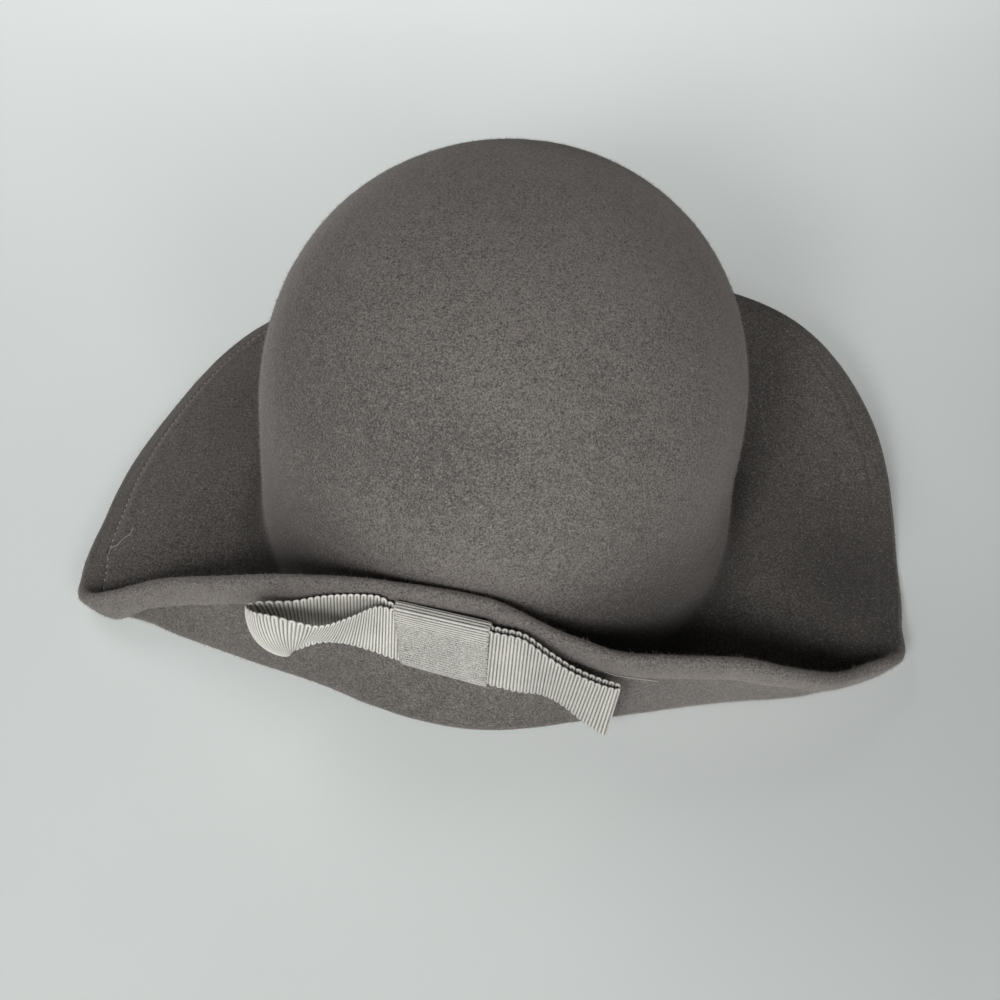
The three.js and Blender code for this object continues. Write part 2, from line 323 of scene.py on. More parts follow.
brimRows = [
    [-175, 13, 38, 14, 62.5, 7, 10, 16],
    [-162, 13, 54, 8, 71.5, 10.5, 10, 13],
    [-157, 12, 63, 2.8, 71, 14.5, 10, 11],
    [-152, 10, 52, 2.2, 48, 27, 10, 9],
    [-142, 7, 33, 1.2, 35, 44, 9, 8],
    [-128, 4, 17, 0.8, 23, 61, 8, 7],
    [-112, 2, 12, 0.8, 12, 68, 7, 6],
    [-90, 1.6, 11.5, 0.8, 9, 68, 7, 6],
    [-74, 2, 9.5, 0.8, 20, 59.5, 7, 6],
    [-66, 3, 10.5, 0.8, 26, 53.5, 7, 6.5],
    [-58, 4, 14, 0.8, 33, 52, 7, 7],
    [-48, 5, 22, 0.8, 44, 48, 8, 8],
    [-40, 7, 33, 1.2, 54.5, 37, 8, 8],
    [-33, 8, 48, 1.6, 62.5, 25.5, 9, 8],
    [-28, 9, 58, 2.2, 67, 20.5, 10, 8],
    [-24, 9.5, 63.5, 3, 73, 18, 10, 8],
    [-20, 10, 62, 6, 76, 13, 10, 10],
    [-14, 11, 46, 10, 73, 8, 10, 16],
    [0, 13, 36, 12, 71, 3, 10, 16],
    [22, 15, 36, 18, 74, 22, 10, 16],
    [40, 17, 36, 24, 74, 31, 10, 16],
    [60, 18, 36, 24, 69, 26, 10, 16],
    [95, 19, 36, 18, 67, 12, 10, 16],
    [135, 17, 36, 14, 66, 3, 10, 16],
    [160, 15, 36, 14, 58, 3, 10, 16],
]
feltMesh = {
    "around": 400,
    "crownRows": 44,
    "brimRows": 38,
    "hemRows": 28,
    "endRows": 7,
    "fineSteps": 7200,
    "domeSteps": 120,
    "domeCrowding": 1.15,
    "wallSteps": 20,
    "bendSteps": 24,
    "bendMost": 0.48,  # no bend takes up more than this share of the straight to either side
    "hemZone": 17.0,  # the fine rows start this far from the edge
    "inside": 200.0,  # stands for the distance from the edge all over the crown
    "corners": (-155, -26),
    "cornerWidth": 10,
    "cornerFineness": 2.2,
}


def unit(vectors):
    return vectors / np.linalg.norm(vectors, axis=-1, keepdims=True)


def ramp(x, start, end):  # runs smoothly from 0 at the start to 1 at the end
    share = np.clip((x - start) / (end - start), 0, 1)
    return share * share * (3 - 2 * share)


def hump(x, middle, reach):
    return np.exp(-(((x - middle) / reach) ** 2))


def between(here, leave, after, arrive, s):  # a smooth curve, s of the way from here to after
    curve = (2 * s**3 - 3 * s**2 + 1) * here + (s**3 - 2 * s**2 + s) * leave
    return curve + (3 * s**2 - 2 * s**3) * after + (s**3 - s**2) * arrive


def brimAt(azimuths):  # a smooth value of each column, going round without a break
    rows = np.array(brimRows, float)
    known = np.concatenate([rows[-2:, 0] - 360, rows[:, 0], rows[:3, 0] + 360])
    values = np.vstack([rows[-2:, 1:], rows[:, 1:], rows[:3, 1:]])
    slopes = np.zeros_like(values)
    slopes[1:-1] = (values[2:] - values[:-2]) / (known[2:] - known[:-2])[:, None]
    k = np.searchsorted(known, azimuths, side="right") - 1
    span = (known[k + 1] - known[k])[:, None]
    s = (azimuths - known[k])[:, None] / span
    mixed = between(values[k], span * slopes[k], values[k + 1], span * slopes[k + 1], s)
    return dict(zip(brimColumns[1:], mixed.T))


def girth(height):  # how wide the crown is at a height, as a share of its widest oval
    low = np.clip((crown["widest"] - height) / crown["widest"], 0, None)
    rise = np.clip((height - crown["widest"]) / (crown["height"] - crown["widest"]), 0, 1)
    below = 1 - (1 - crown["neck"]) * low ** crown["flare"]
    above = (1 - rise ** crown["roundness"]) ** (1 / crown["roundness"])
    return np.where(height < crown["widest"], below, above)


def crownPoints(azimuths, height):
    around = np.radians(azimuths)
    tilt = math.radians(crown["tilt"])
    share = girth(height)
    deep = crown["halfDepth"] * share * np.sin(around)
    rightward = (0.5 + 0.5 * np.cos(around)) ** 2
    flatter = crown["flatter"] * ramp(height, 0, crown["flatterAbove"]) * rightward
    lean = math.sin(math.radians(crown["lean"]))
    x = crown["halfWidth"] * share * (np.cos(around) - flatter) + height * lean
    y = deep * math.cos(tilt) - height * math.sin(tilt)
    z = crown["lift"] + deep * math.sin(tilt) + height * math.cos(tilt)
    return np.stack([x, y, z + 0 * x], -1)


def bend(before, corner, after, reach, count):
    def side(other):
        length = np.linalg.norm(other - corner, axis=-1)
        share = np.minimum(reach, feltMesh["bendMost"] * length) / length
        return corner + (other - corner) * share[:, None]

    first, last = side(before), side(after)
    steps = np.linspace(0, 1, count)
    return [(1 - t) ** 2 * first + 2 * t * (1 - t) * corner + t**2 * last for t in steps]


def stretch(line, places):  # points at the given lengths along each section's line
    steps = np.linalg.norm(np.diff(line, axis=1), axis=-1)
    lengths = np.concatenate([np.zeros((len(line), 1)), np.cumsum(steps, 1)], 1)
    made = np.empty((len(line), places.shape[1], 3))
    for i in range(len(line)):
        for axis in range(3):
            made[i, :, axis] = np.interp(places[i], lengths[i], line[i, :, axis])
    return made


def lengthOf(line):
    return np.linalg.norm(np.diff(line, axis=1), axis=-1).sum(1)


def feltAzimuths():  # closer together at the two front corners
    fine = np.linspace(-180, 180, feltMesh["fineSteps"] + 1)
    density = np.ones_like(fine)
    for corner in feltMesh["corners"]:
        density += feltMesh["cornerFineness"] * hump(fine, corner, feltMesh["cornerWidth"])
    total = np.concatenate([[0], np.cumsum((density[1:] + density[:-1]) / 2)])
    wanted = np.arange(feltMesh["around"]) / feltMesh["around"] * total[-1]
    return np.interp(wanted, total, fine)


def setAttribute(mesh, name, kind, values):
    attribute = mesh.attributes.new(name, kind, "POINT")
    field = "vector" if kind == "FLOAT_VECTOR" else "value"
    kept = bool if kind == "BOOLEAN" else np.float32
    attribute.data.foreach_set(field, np.asarray(values, kept).ravel())


# The middle of the felt from the crown's top down its wall and out to the edge of the brim.
# fromEdge is each brim point's distance to the edge along the felt.
def feltSections(azimuths):
    row = brimAt(azimuths)
    count = len(azimuths)
    angle = np.radians(azimuths)
    outward = np.stack([np.cos(angle), np.sin(angle), 0 * angle], -1)
    neck = crownPoints(azimuths, 0 * azimuths)
    neck[:, 2] = row["neckUp"]
    fold = neck + outward * row["foldOut"][:, None]
    fold[:, 2] = row["foldUp"]
    edge = neck + outward * row["edgeOut"][:, None]
    edge[:, 2] = row["edgeUp"]

    steps = np.linspace(0, 1, feltMesh["domeSteps"] + 1)[1:] ** feltMesh["domeCrowding"]
    dome = crown["widest"] + (crown["height"] - crown["widest"]) * np.cos(steps * math.pi / 2)
    below = np.linspace(crown["widest"], crown["join"], feltMesh["wallSteps"] + 1)[1:]
    wall = [crownPoints(azimuths, np.full(count, h)) for h in np.concatenate([dome, below])]
    neckBend = bend(wall[-1], neck, fold, row["neckTurn"], feltMesh["bendSteps"])
    foldBend = bend(neck, fold, edge, row["foldTurn"], feltMesh["bendSteps"])

    crownLine = np.stack(wall + neckBend[:1], 1)
    brimLine = np.stack([*neckBend, *foldBend, edge], 1)
    crownLength, brimLength = lengthOf(crownLine), lengthOf(brimLine)
    crownPlaces = crownLength[:, None] * np.linspace(0, 1, feltMesh["crownRows"])
    zone, end = feltMesh["hemZone"], sheet["endRound"]
    plain = (brimLength - zone)[:, None] * np.linspace(0, 1, feltMesh["brimRows"] + 1)[1:]
    hem = brimLength[:, None] - zone + (zone - end) * np.linspace(0, 1, feltMesh["hemRows"] + 1)[1:]
    brimPlaces = np.concatenate([plain, hem], 1)
    points = np.concatenate([stretch(crownLine, crownPlaces), stretch(brimLine, brimPlaces)], 1)
    fromEdge = np.concatenate(
        [np.full_like(crownPlaces, feltMesh["inside"]), brimLength[:, None] - brimPlaces], 1
    )
    low = sheet["table"] + sheet["thickness"] / 2
    points[..., 2] = np.maximum(points[..., 2], low)
    return points, fromEdge


def slopeDown(points):
    down = np.empty_like(points)
    down[:, 1:-1] = points[:, 2:] - points[:, :-2]
    down[:, 0] = points[:, 1] - points[:, 0]
    down[:, -1] = points[:, -1] - points[:, -2]
    return down


def upperNormals(points):
    around = np.roll(points, -1, 0) - np.roll(points, 1, 0)
    return unit(np.cross(slopeDown(points), around))


def waver(points, scale, seed):  # a smooth random height at each point
    flat = points.reshape(-1, 3)
    shift = Vector((seed * 17.3, seed * 5.1, seed * 9.7))
    heights = [noise.noise(Vector(p) / scale + shift) for p in flat]
    return np.array(heights).reshape(points.shape[:-1])


def gridFaces(count, rows, closed):  # faces between sections of so many rows, going round
    here = np.arange(count if closed else count - 1)[:, None] * rows
    ahead = (here // rows + 1) % count * rows
    k = np.arange(rows - 1)[None, :]
    faces = np.stack([here + k, here + k + 1, ahead + k + 1, ahead + k], -1)
    return here, ahead, faces.reshape(-1, 4)


def closedLoops(rings, first, last):  # the rings' faces, closed by a point at each end
    count, rows = rings.shape[:2]
    vertices = np.concatenate([rings.reshape(-1, 3), [first, last]])
    here, ahead, faces = gridFaces(count, rows, True)
    top = np.stack([0 * here + count * rows, here, ahead], -1).reshape(-1, 3)
    inside = np.stack([0 * here + count * rows + 1, ahead + rows - 1, here + rows - 1], -1)
    return vertices, [*faces.tolist(), *top.tolist(), *inside.reshape(-1, 3).tolist()]


def newPiece(name, vertices, faces, material, edges=()):
    mesh = bpy.data.meshes.new(name)
    mesh.from_pydata(np.asarray(vertices).tolist(), list(edges), faces)
    mesh.validate()
    mesh.polygons.foreach_set("use_smooth", [True] * len(mesh.polygons))
    if material is not None:
        mesh.materials.append(material)
    piece = bpy.data.objects.new(name, mesh)
    bpy.context.scene.collection.objects.link(piece)
    return piece


def frontShare(azimuths):  # 1 along the turned-up front, 0 where the brim lies open
    return ramp(azimuths, -172, -160) * ramp(azimuths, 24, -6)


def leftShare(azimuths):  # 1 round the hat's left side
    return ramp(np.abs(azimuths), 110, 140)


def hemWider(azimuths):  # the turned-up front's hem is wider to both sides of the bow
    left = ramp(azimuths, -124, -136) * ramp(azimuths, -171, -155)
    right = ramp(azimuths, -66, -58) * ramp(azimuths, -36, -46)
    return sheet["wider"] * (left + right)


def rollEdge(points, fromEdge, azimuths):  # the hem turns down a little past its stitches
    towardsEdge = ramp(fromEdge, sheet["rollWidth"], 0)
    onFront = frontShare(azimuths)
    drop = sheet["roll"] + (sheet["rollFront"] - sheet["roll"]) * onFront
    rise = sheet["raise"] * ramp(fromEdge, sheet["raiseWidth"], 0)
    rise += sheet["ridge"] * hump(fromEdge, sheet["ridgeIn"], sheet["ridgeWidth"])
    height = rise * (1 - onFront)[:, None] - drop[:, None] * towardsEdge
    rolled = points + upperNormals(points) * height[..., None]
    low = sheet["table"] + sheet["thickness"] / 2
    rolled[..., 2] = np.maximum(rolled[..., 2], low)
    return rolled


azimuths = feltAzimuths()
middles, fromEdge = feltSections(azimuths)
middles = rollEdge(middles, fromEdge, azimuths)
normals = upperNormals(middles)


def underDepth(fromEdge, edgeWave):  # how far the under face lies below the felt's middle
    hem = sheet["hemWidth"] + edgeWave
    past = hem + sheet["ledge"]
    swell = sheet["swell"] * np.sin(math.pi * np.clip(fromEdge / hem, 0, 1))
    depth = sheet["thickness"] / 2 + sheet["hemExtra"] * ramp(fromEdge, past, hem)
    return depth + swell - sheet["groove"] * hump(fromEdge, past, sheet["grooveWidth"])


def upperHeight(fromEdge):  # the stitches draw the upper face in a little
    dent = sheet["dent"] * hump(fromEdge, sheet["stitchIn"], sheet["dentWidth"])
    return sheet["thickness"] / 2 - dent


def feltSurface():
    soft = waver(middles, sheet["longWave"], 1) * sheet["softness"]
    short = waver(middles, sheet["shortWave"], 2)
    soft += short * sheet["softness"] * sheet["shortShare"]
    soft *= ramp(np.arange(middles.shape[1]), 0, 6)[None, :]  # none at the crown's very top
    edgeWave = waver(middles[:, -1:], sheet["wanderWave"], 3) * sheet["wander"]
    edgeWave += hemWider(azimuths)[:, None]
    upper = middles + normals * (upperHeight(fromEdge) + soft)[..., None]
    under = middles - normals * (underDepth(fromEdge, edgeWave) - soft)[..., None]
    centre = (upper[:, -1] + under[:, -1]) / 2
    half = upper[:, -1] - centre
    onward = unit(middles[:, -1] - middles[:, -2]) * np.linalg.norm(half, axis=-1, keepdims=True)
    turns = np.linspace(0, math.pi, feltMesh["endRows"] + 2)[1:-1]
    end = np.stack([centre + half * math.cos(t) + onward * math.sin(t) for t in turns], 1)
    floor = sheet["table"]
    lowest = floor + sheet["thickness"] * sheet["flattest"]
    upper[..., 2] = np.maximum(upper[..., 2], lowest)
    rings = np.concatenate([upper, end, under[:, ::-1]], 1)
    rings[..., 2] = np.maximum(rings[..., 2], floor)
    return rings, upper, under, edgeWave


rings, upperFace, underFace, hemWave = feltSurface()

# Painted light and shade on the felt, with the hem's and the strip's tones. A pair of places is
# where a change starts and where it ends, or the middle and the reach of a hump. A place is an
# azimuth ("round"), a height ("up"), a distance in from the edge ("in") or a share of the way to
# the crown's side ("aside").
paintedShadeAndTone = {
    "crownRows": (14, 0),  # the crown's painted light and shade fade out over the brim's first rows
    "crest": 1.3,  # painted light on the crown's top
    "crestUp": (112, 162),
    "front": 2,  # painted light low on its front
    "frontRound": (-97, 28),
    "frontUp": (62, 26),
    "foot": (1.4, 2.2),  # painted shade round its foot, and more so at its sides
    "footUp": (94, 32),
    "right": (0.4, 0.5),  # painted light towards its right and painted shade towards its left, more so further up
    "rightUp": (80, 110),
    "valley": (0.1, 4),  # painted shadow behind the turned-up front, and most beside the bow
    "valleyIn": (14, 36),
    "valleyRound": (-62, 15),
    "brim": 0.6,  # painted shade on the brim's right side
    "brimRound": (52, 16),
    "tip": 1.1,  # and at its right corner
    "tipAside": (1.25, 1.65),
    "tipRound": (15, -5),
    "flap": (0.2, 0.5),  # painted light on the turned-up front's outer face, more so at its right,
    "flapRound": (-62, -42),
    "flapFoot": 0.5,  # and less near the table
    "flapUp": (34, 8),
    # the hem's lighter tone is partly its nappier felt and partly a painted highlight on its roll
    # and end; its line is painted shadow under the ledge
    "hem": (0.1, 0.9),  # the hem is lightest at its edge, and only along the turned-up front
    "hemRound": (-18, -48),
    "hemRise": 2.2,
    "hemLine": (0.8, 1.1),  # how dark and how wide the painted shadow line inside its ledge is
    "hemEnd": (0.3, 1),
    "stripLess": 4.5,  # the dark strip outside the stitches is narrower away from the left side
    "stripFade": 1.5,
}
crownSide = 85


def feltTones(upper, under, edgeWave):
    def along(x, name):
        return ramp(x, *paintedShadeAndTone[name])

    def beside(x, name):
        return hump(x, *paintedShadeAndTone[name])

    bearing = azimuths[:, None]
    onFront = frontShare(bearing)
    pastJoin = np.arange(fromEdge.shape[1]) - feltMesh["crownRows"]
    onCrown = along(pastJoin, "crownRows")
    aside, height = upper[..., 0] / crownSide, upper[..., 2]
    # all of these are painted light and shade: lighter where light would fall on the felt, darker
    # where it lies in shade
    foot = along(height, "footUp") * (paintedShadeAndTone["foot"][0] + paintedShadeAndTone["foot"][1] * np.abs(aside))
    front = beside(bearing, "frontRound") * beside(height, "frontUp")
    right = (paintedShadeAndTone["right"][0] + paintedShadeAndTone["right"][1] * along(height, "rightUp")) * aside
    crownPaintedShading = paintedShadeAndTone["crest"] * along(height, "crestUp") + paintedShadeAndTone["front"] * front - foot + right
    valley = onFront * along(fromEdge, "valleyIn")
    valley *= paintedShadeAndTone["valley"][0] + paintedShadeAndTone["valley"][1] * beside(bearing, "valleyRound")
    brim = paintedShadeAndTone["brim"] * np.maximum(aside, 0) * along(bearing, "brimRound")
    tip = paintedShadeAndTone["tip"] * along(aside, "tipAside") * along(bearing, "tipRound")
    upperPaintedShading = crownPaintedShading * onCrown - (valley + brim + tip) * (1 - onCrown)
    underPaintedShading = paintedShadeAndTone["flap"][0] + paintedShadeAndTone["flap"][1] * along(bearing, "flapRound")
    underPaintedShading = (underPaintedShading - paintedShadeAndTone["flapFoot"] * along(under[..., 2], "flapUp")) * (1 - onCrown)

    stripWidth = sheet["stitchIn"] - paintedShadeAndTone["stripLess"] * (1 - leftShare(bearing))
    strip = ramp(fromEdge, stripWidth, stripWidth - paintedShadeAndTone["stripFade"]) * (1 - onFront)
    # the hem: lighter nap plus a painted highlight growing towards its rolled edge, less a painted
    # shadow line just past its ledge
    hemLine = sheet["hemWidth"] + edgeWave
    hem = ramp(fromEdge, hemLine, hemLine - sheet["ledge"])
    hem *= 1 + paintedShadeAndTone["hemRise"] * (fromEdge / hemLine) ** 2
    hem *= paintedShadeAndTone["hem"][0] + paintedShadeAndTone["hem"][1] * along(bearing, "hemRound")
    dark, wide = paintedShadeAndTone["hemLine"]
    hem -= dark * hump(fromEdge, hemLine + sheet["ledge"], wide)
    hemEnd = np.tile(np.linspace(*paintedShadeAndTone["hemEnd"], feltMesh["endRows"]), (len(azimuths), 1))
    none = np.zeros_like(fromEdge)
    return {
        "hem": np.concatenate([none, hemEnd, hem[:, ::-1]], 1),
        "strip": np.concatenate([strip, (1 - hemEnd) * (1 - onFront), none], 1),
        "worn": np.concatenate([upperPaintedShading, 0 * hemEnd, underPaintedShading[:, ::-1]], 1),
    }


feltShares = feltTones(upperFace, underFace, hemWave)

# The design's own origin is the crown's neck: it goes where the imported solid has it
feltLow, feltHigh = (np.array(corner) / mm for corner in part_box("felt_body"))
ringsLow, ringsHigh = rings.min((0, 1)), rings.max((0, 1))
shift = (feltLow + feltHigh - ringsLow - ringsHigh) / 2
shift[2] = feltLow[2] - sheet["table"]


def toFrame(points):
    return (np.asarray(points) + shift) * mm


def makeFelt():
    apex = crownPoints(np.zeros(1), np.full(1, float(crown["height"])))[0]
    up = np.array([0, 0, sheet["thickness"] / 2])
    # the first and the last row of each section are the poles themselves, so they go
    rows = rings[:, 1:-1]
    vertices, faces = closedLoops(rows, apex + up, apex - up)
    body = newPiece("felt_hat", toFrame(vertices), faces, felt)
    for name, shares in feltShares.items():
        ends = [shares[:, 0].mean(), shares[:, -1].mean()]
        setAttribute(body.data, name, "FLOAT", np.append(shares[:, 1:-1].ravel(), ends))
    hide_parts("felt_body")
    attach(body, "root")
    return body


feltHat = makeFelt()
print("felt made:", len(feltHat.data.polygons), "faces")


# Geometry Nodes trees
def newTree(name, inputs):
    tree = bpy.data.node_groups.new(name, "GeometryNodeTree")
    tree.interface.new_socket("Geometry", in_out="INPUT", socket_type="NodeSocketGeometry")
    for label, kind in inputs.items():
        tree.interface.new_socket(label, in_out="INPUT", socket_type="NodeSocket" + kind)
    tree.interface.new_socket("Geometry", in_out="OUTPUT", socket_type="NodeSocketGeometry")
    graph = Graph(tree)
    entry = graph.add("NodeGroupInput")
    return graph, {label: entry.other(label) for label in ["Geometry", *inputs]}


def endTree(graph, geometry, material):
    whole = graph.add("GeometryNodeRealizeInstances", {}, {0: geometry})
    dressed = graph.add("GeometryNodeSetMaterial", {}, {"Geometry": whole, "Material": material})
    graph.add("NodeGroupOutput", {}, {0: dressed})


def runTree(piece, graph, values):  # the tree's result becomes the piece's own plain mesh
    modifier = piece.modifiers.new(graph.tree.name, "NODES")
    modifier.node_group = graph.tree
    for item in graph.tree.interface.items_tree:
        if item.in_out == "INPUT" and item.name in values:
            modifier[item.identifier] = values[item.name]
    bpy.context.view_layer.update()
    evaluated = piece.evaluated_get(bpy.context.evaluated_depsgraph_get())
    made = bpy.data.meshes.new_from_object(evaluated)
    piece.modifiers.clear()
    piece.data = made
    piece.data.name = piece.name
    return piece


def named(graph, name, kind="FLOAT"):
    return graph.add("GeometryNodeInputNamedAttribute", {"data_type": kind}, {"Name": name})


def scaled(graph, direction, amount):
    inputs = {0: direction, "Scale": amount}
    return graph.add("ShaderNodeVectorMath", {"operation": "SCALE"}, inputs)


def summed(graph, first, second):
    return graph.add("ShaderNodeVectorMath", {"operation": "ADD"}, {0: first, 1: second})


def randomShare(graph, least, most, seed):
    inputs = {2: least, 3: most, "Seed": seed}
    return graph.add("FunctionNodeRandomValue", {"data_type": "FLOAT"}, inputs, output=1)


def placeOn(graph, points, shape, rotation, sides):  # a copy at each point, of these side lengths
    size = graph.add("ShaderNodeCombineXYZ", {}, dict(enumerate(sides)))
    inputs = {"Points": points, "Instance": shape, "Rotation": rotation, "Scale": size}
    return graph.add("GeometryNodeInstanceOnPoints", {}, inputs)


# Nap: short loose fibres all over the felt that shows
nap = {
    "crown": 44000,
    "brim": 34000,
    "front": 44000,
    "length": 1.5,
    "width": 0.11,
    "shortest": 0.35,  # as a share of the length
    "upright": 0.8,
    "aboveTable": 1.2,
    "flap": (-172, -8),  # azimuths between which the turned-up front shows its outer face
    "seed": 7,
}


def napTree():
    sizes = {"Density": "Float", "Length": "Float", "Width": "Float", "Upright": "Float"}
    inputs = {**sizes, "Seed": "Int", "Material": "Material"}
    graph, entry = newTree("nap", inputs)
    sown = {"Mesh": entry["Geometry"], "Density": entry["Density"], "Seed": entry["Seed"]}
    roots = graph.add("GeometryNodeDistributePointsOnFaces", {}, sown)
    normal = roots.other("Normal")
    fibre = graph.add(
        "GeometryNodeMeshCone",
        {"fill_type": "NGON"},
        {"Vertices": 3, "Side Segments": 1, "Radius Top": 0.0, "Radius Bottom": 0.5, "Depth": 1.0},
    )
    astray = graph.add(
        "FunctionNodeRandomValue",
        {"data_type": "FLOAT_VECTOR"},
        {0: (-1, -1, -1), 1: (1, 1, 1), "Seed": entry["Seed"]},
    )
    leaning = summed(graph, scaled(graph, normal, entry["Upright"]), astray)
    turned = graph.add("FunctionNodeAlignRotationToVector", {"axis": "Z"}, {"Vector": leaning})
    length = entry["Length"] * randomShare(graph, nap["shortest"], 1.0, entry["Seed"])
    placed = placeOn(graph, roots, fibre, turned, (entry["Width"], entry["Width"], length))
    endTree(graph, placed, entry["Material"])
    return graph


fuzz = napTree()


def makeNap(name, patch, closed, count):  # patch: rows of points round the hat
    faces = gridFaces(*patch.shape[:2], closed)[2]
    lowest = patch.reshape(-1, 3)[faces][..., 2].min(1)
    # none where the felt lies on the table
    faces = faces[lowest > sheet["table"] + nap["aboveTable"]]
    piece = newPiece(name, toFrame(patch.reshape(-1, 3)), faces.tolist(), None)
    area = sum(face.area for face in piece.data.polygons)
    values = {
        "Density": count / area,
        "Length": nap["length"] * mm,
        "Width": nap["width"] * mm,
        "Upright": nap["upright"],
        "Seed": nap["seed"],
        "Material": napFelt,
    }
    runTree(piece, fuzz, values)
    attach(piece, "root")
    print(name, "made:", len(piece.data.polygons), "faces")


crownEnd = feltMesh["crownRows"]
upperEnd = middles.shape[1] + feltMesh["endRows"]
onFlap = (azimuths > nap["flap"][0]) & (azimuths < nap["flap"][1])
underEnd = rings.shape[1] - crownEnd
makeNap("felt_nap_crown", rings[:, 2:crownEnd], True, nap["crown"])
makeNap("felt_nap_brim", rings[:, crownEnd - 1:upperEnd], True, nap["brim"])
makeNap("felt_nap_front", rings[onFlap, upperEnd - 2:underEnd], False, nap["front"])


# Ribbon: ribs across it, and the loops of its weft along both edges
ribbon = {
    "width": 28,
    "thickness": 1.0,
    "ribPitch": 1.19,
    "ribDepth": 0.42,
    "ribPower": 0.9,  # below 1 the ribs are fuller and their grooves narrower
    "scallop": 0.6,
    "scallopPower": 0.6,
    "edge": 0.93,  # from here out, as a share of half the width, ribs turn into edge loops
    "edgeSteep": 14.0,
    "drawn": 0.8,
    "drawnSteep": 5.0,
    "wornDepth": 0.6,  # how much less deep and less dark the grooves are where it is worn
    "wornTone": 0.7,
    "wornMiddle": 0.4,
    "thinner": 0.35,  # its very edges
    "thinnerPower": 24,
    "crowding": 1.3,  # its columns lie closer together towards the edges
    "lineSteps": 6000,
}
bow = {
    "x": -13.8,
    "y": -109.6,
    "z": 52.3,
    "turn": 10,
    "droop": 5,
    "stations": 7,  # to a rib
    "columns": 17,
    "tone": 0.94,
    "paintedShadeRight": -0.16,  # painted shade on the right loop, painted light on the far layer of the left one
    "paintedLightBack": 0.2,
    "crowdFront": 0.24,  # the left loop's ribs lie closer in front, the right loop's further apart
    "crowdRight": -0.12,
}
knot = {
    "length": 32,
    "clearance": 0.35,
    "thickness": 1,
    "skew": 8,
    "squareness": 5,
    "flare": 0.04,
    "pressLeft": 3.6,  # its top is pushed down, more at its left end
    "pressRight": 1.6,
    "stations": 6,
    "columns": 15,
    "tone": 0.76,
    "ribsAbove": (0.45, 0.65),  # its ribs show only along the top bend
}
ribbonRows = [  # along, out, up, lean, slant, cup, press
    [12, 1.3, 0, 0, 4, 0, 1.9],
    [-12, 1.3, 0, 0, 5, 0, 3.4],
    [-18.5, 1.3, 0, 0, 5, 0, 3.7],
    [-24, 2.6, -0.3, 9, 1, 0.2, 0.8],
    [-32, 5.4, -1.2, 21, -8, 0.5, 0],
    [-42.5, 9, -3.5, 27, -16, 0.8, 0],
    [-48.5, 10.8, -5.5, 21, -6, 1.4, 0],
    [-54, 10, -8, 16, 13, 2.4, 0],
    [-58, 8, -11, 13, 25, 3.6, 0],
    [-61, 3.5, -15.5, 7, 32, 4, 0],
    [-60.5, 0.3, -17, 6, 24, 1.6, 0],
    [-52, -1.5, -14, 8, 8, 0, 0],
    [-43, -3, -9, 9, 4, 0, 0],
    [-33, -2.8, -5, 6, 5, 0, 0],
    [-24, -1.8, -1.5, 2, 5, 0, 0.8],
    [-18.5, -1.3, 0, 0, 5, 0, 3.7],
    [-12, -1.3, 0, 0, 5, 0, 3.4],
    [12, -1.3, 0, 0, 4, 0, 1.9],
    [18.5, -1.3, 0, 0, 4, 0, 1.6],
    [27, -1.5, -0.8, 3, 4, 0, 0],
    [35.5, -2.5, -3.5, 14, 1, 0, 0],
    [44, -4, -8.5, 17, -2, 0, 0],
    [53.4, -5.8, -14.5, 11, -3, 0, 0],
    [60.1, -7.1, -18, 5, -1, 0, 0],
    [61.1, -5.9, -18.2, 5, -1, 0, 0],
    [60.1, -4.7, -18, 5, -1, 0, 0],
    [53.4, -3.2, -14.5, 11, -3, 0.3, 0],
    [44, -1.5, -8.5, 17, -2, 0.5, 0],
    [35.5, 0, -3.5, 14, 1, 0.4, 0],
    [27, 1, -0.8, 3, 4, 0.2, 0],
    [18.5, 1.3, 0, 0, 4, 0, 1.6],
]

turn, droop = math.radians(bow["turn"]), math.radians(bow["droop"])
outAxis = np.array([-math.sin(turn), -math.cos(turn), 0])
alongAxis = np.array(
    [math.cos(turn) * math.cos(droop), -math.sin(turn) * math.cos(droop), -math.sin(droop)]
)
upAxis = -np.cross(alongAxis, outAxis)
bowPlace = np.array([bow["x"], bow["y"], bow["z"]])


def inBow(along, out, up):
    along, out, up = (np.asarray(v, float)[..., None] for v in (along, out, up))
    return bowPlace + along * alongAxis + out * outAxis + up * upAxis


def throughRows(rows, share):  # a closed smooth curve through the rows, at shares of the way round
    count = len(rows)
    place = share * count
    k = np.floor(place).astype(int)
    s = (place - k)[:, None]
    before, here, after, beyond = (rows[(k + step) % count] for step in (-1, 0, 1, 2))
    return between(here, 0.5 * (after - before), after, 0.5 * (beyond - here), s)


